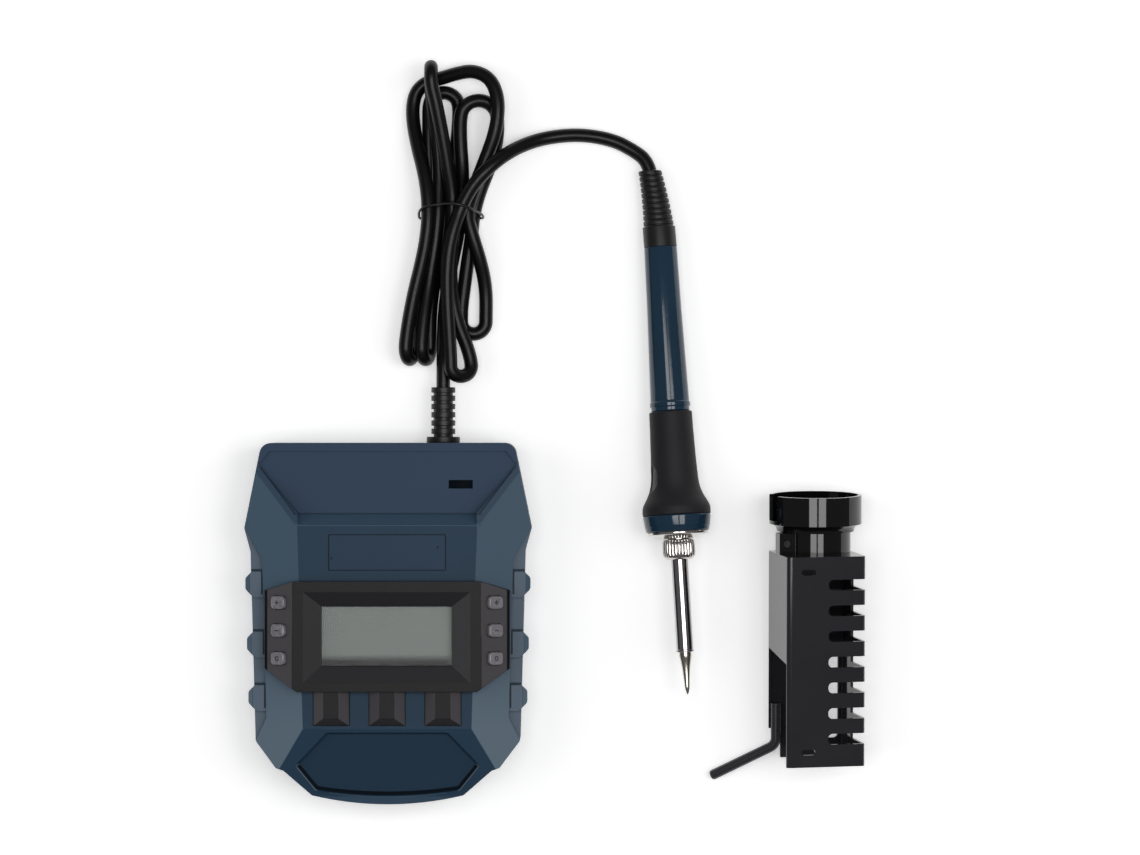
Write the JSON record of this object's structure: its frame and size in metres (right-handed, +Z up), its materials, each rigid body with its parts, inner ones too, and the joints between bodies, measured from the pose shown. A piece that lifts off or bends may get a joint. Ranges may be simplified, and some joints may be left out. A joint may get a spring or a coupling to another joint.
{
  "type": "soldering iron station",
  "caption": "Portable soldering station with tilted display bezel and side buttons, battery bay below, a corded iron with knurled nut, and a sheet metal holder with a cup.",
  "frame": {"origin": "centre of the station's underside, on the table", "axes": "+Z up, +Y towards the station's rear where the cord leaves, +X towards the iron and the holder"},
  "size_m": [0.2653, 0.32, 0.0466],
  "materials": {
    "housing_blue": "fine textured moulding",
    "base_black": "fine textured moulding",
    "bezel_black": "satin moulding",
    "window_glass": "clear",
    "display_grey": "unlit liquid crystal",
    "circuit_board": "solder mask",
    "switch_black": "moulded",
    "copper_wire": "enamelled wire",
    "capacitor_can": "sleeved can",
    "bare_aluminium": "extruded",
    "contact_metal": "tinned",
    "screw_steel": "zinc plated",
    "cord_rubber": "smooth sheath",
    "tie_black": "coated wire",
    "grip_rubber": "matte",
    "handle_blue": "glossy",
    "plated_steel": "bright plating",
    "polished_steel": "polished tube",
    "tip_plating": "plated",
    "ceramic_white": "ceramic",
    "button_grey": "translucent moulding",
    "black_paint": "semi-gloss black enamel"
  },
  "bodies": {
    "station": {"base_shell": "base_black", "top_cover": "housing_blue", "name_plate": "housing_blue", "display_bezel": "bezel_black", "lcd_window": "window_glass", "lcd_module": "display_grey", "main_board": "circuit_board", "left_button_board": "circuit_board", "right_button_board": "circuit_board", "left_tact_switches": "switch_black", "right_tact_switches": "switch_black", "inductor": "copper_wire", "capacitors": "capacitor_can", "heat_sink": "bare_aluminium", "buzzer": "switch_black", "terminal_block": "switch_black", "terminal_blades": "contact_metal", "housing_screws": "screw_steel", "cord_gland": "cord_rubber", "cord_hank": "cord_rubber", "cord_lead": "cord_rubber", "cord_tie": "tie_black"},
    "iron": {"iron_strain_relief": "grip_rubber", "iron_handle": "handle_blue", "iron_grip": "grip_rubber", "iron_nipple": "plated_steel", "iron_barrel": "polished_steel", "soldering_tip": "tip_plating", "heater_element": "ceramic_white", "terminal_board": "circuit_board", "cord_stopper": "switch_black"},
    "barrel_nut": {"barrel_nut": "plated_steel"},
    "holder": {"holder_box": "black_paint", "holder_band": "black_paint", "holder_cup": "black_paint", "clamp_screw": "screw_steel", "holder_rod": "black_paint"},
    "button_left_1": {"button_left_1": "button_grey"},
    "button_left_2": {"button_left_2": "button_grey"},
    "button_left_3": {"button_left_3": "button_grey"},
    "button_right_1": {"button_right_1": "button_grey"},
    "button_right_2": {"button_right_2": "button_grey"},
    "button_right_3": {"button_right_3": "button_grey"}
  },
  "joints": [
    {"name": "press_left_1", "type": "slide", "parent": "station", "child": "button_left_1", "axis": [0.4695, 0, -0.8829], "range_m": [0, 0.0005], "stiffness_N_per_m": 1500},
    {"name": "press_left_2", "type": "slide", "parent": "station", "child": "button_left_2", "axis": [0.4695, 0, -0.8829], "range_m": [0, 0.0005], "stiffness_N_per_m": 1500},
    {"name": "press_left_3", "type": "slide", "parent": "station", "child": "button_left_3", "axis": [0.4695, 0, -0.8829], "range_m": [0, 0.0005], "stiffness_N_per_m": 1500},
    {"name": "press_right_1", "type": "slide", "parent": "station", "child": "button_right_1", "axis": [-0.4695, 0, -0.8829], "range_m": [0, 0.0005], "stiffness_N_per_m": 1500},
    {"name": "press_right_2", "type": "slide", "parent": "station", "child": "button_right_2", "axis": [-0.4695, 0, -0.8829], "range_m": [0, 0.0005], "stiffness_N_per_m": 1500},
    {"name": "press_right_3", "type": "slide", "parent": "station", "child": "button_right_3", "axis": [-0.4695, 0, -0.8829], "range_m": [0, 0.0005], "stiffness_N_per_m": 1500},
    {"name": "iron_lift", "type": "slide", "parent": "station", "child": "iron", "axis": [0, 0, 1], "range_m": [0, 0.04], "deforming": ["cord_lead"]},
    {"name": "nut_turn", "type": "hinge", "parent": "iron", "child": "barrel_nut", "pos_m": [0.12491, 0.03193, 0.01568], "axis": [0.0592, -0.9962, 0.0645], "continuous": true},
    {"name": "holder_lift", "type": "slide", "parent": "station", "child": "holder", "axis": [0, 0, 1], "range_m": [0, 0.04]}
  ]
}
